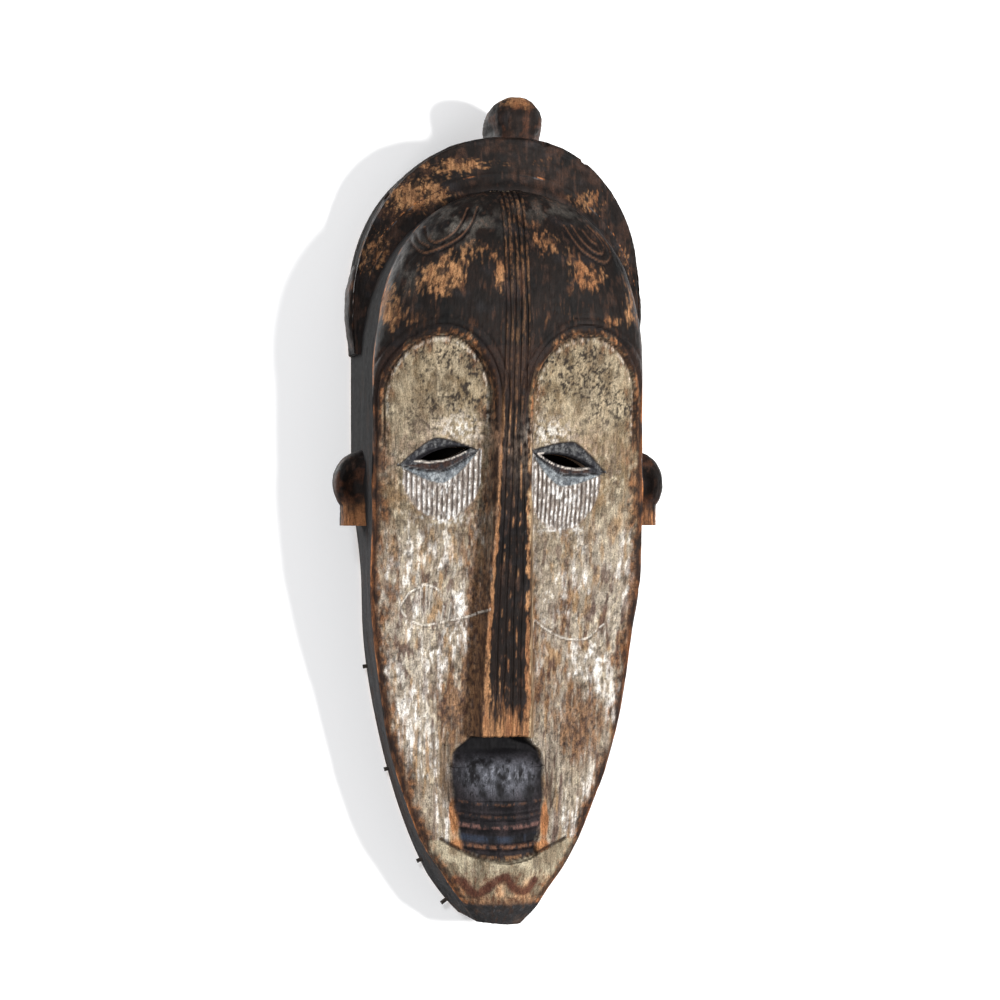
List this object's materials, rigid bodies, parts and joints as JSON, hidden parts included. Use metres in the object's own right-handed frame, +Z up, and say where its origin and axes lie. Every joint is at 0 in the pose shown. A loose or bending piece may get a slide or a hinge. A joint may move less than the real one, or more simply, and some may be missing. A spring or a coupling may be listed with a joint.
{
  "type": "carved wooden mask",
  "caption": "Tall hollow carved wooden mask with a domed forehead, long nose, sunken white cheek panels, arched headdress, crests and ears, and a ring hanger behind.",
  "frame": {"origin": "on the wall plane at the flat back rim, level with the pin of the hanger ring, in the middle of the width", "axes": "+Z up along the face, the face looks along -Y, the wall is the plane Y = 0 and lies on the +Y side, X is the width and the mask is a mirror image about X = 0"},
  "size_m": [0.244, 0.138, 0.606],
  "materials": {
    "face_wood": "white clay and worn black paint on carved wood",
    "dark_wood": "worn black paint, bare at the edges",
    "crest_wood": "worn, mostly bare",
    "ear_wood": "worn black paint over orange-brown wood",
    "dowel_wood": "bare",
    "peg_wood": "dark, weathered",
    "zinc": "zinc plated",
    "brass": "dull"
  },
  "bodies": {
    "mask": {"face_shell": "face_wood", "headdress": "dark_wood", "top_crest": "crest_wood", "side_crest_left": "dark_wood", "side_crest_right": "dark_wood", "ear_left": "ear_wood", "ear_right": "ear_wood", "ear_dowels": "dowel_wood", "crest_dowel": "dowel_wood", "side_crest_dowels": "dowel_wood", "headdress_dowels": "dowel_wood", "fringe_pegs": "peg_wood", "hanger_strap": "zinc", "hanger_screws": "brass"},
    "ring": {"hanger_ring": "zinc"}
  },
  "joints": [
    {"name": "ring_swing", "type": "hinge", "parent": "mask", "child": "ring", "pos_m": [0, -0.00392, 0], "axis": [1, 0, 0], "range_deg": [0, 180]}
  ]
}
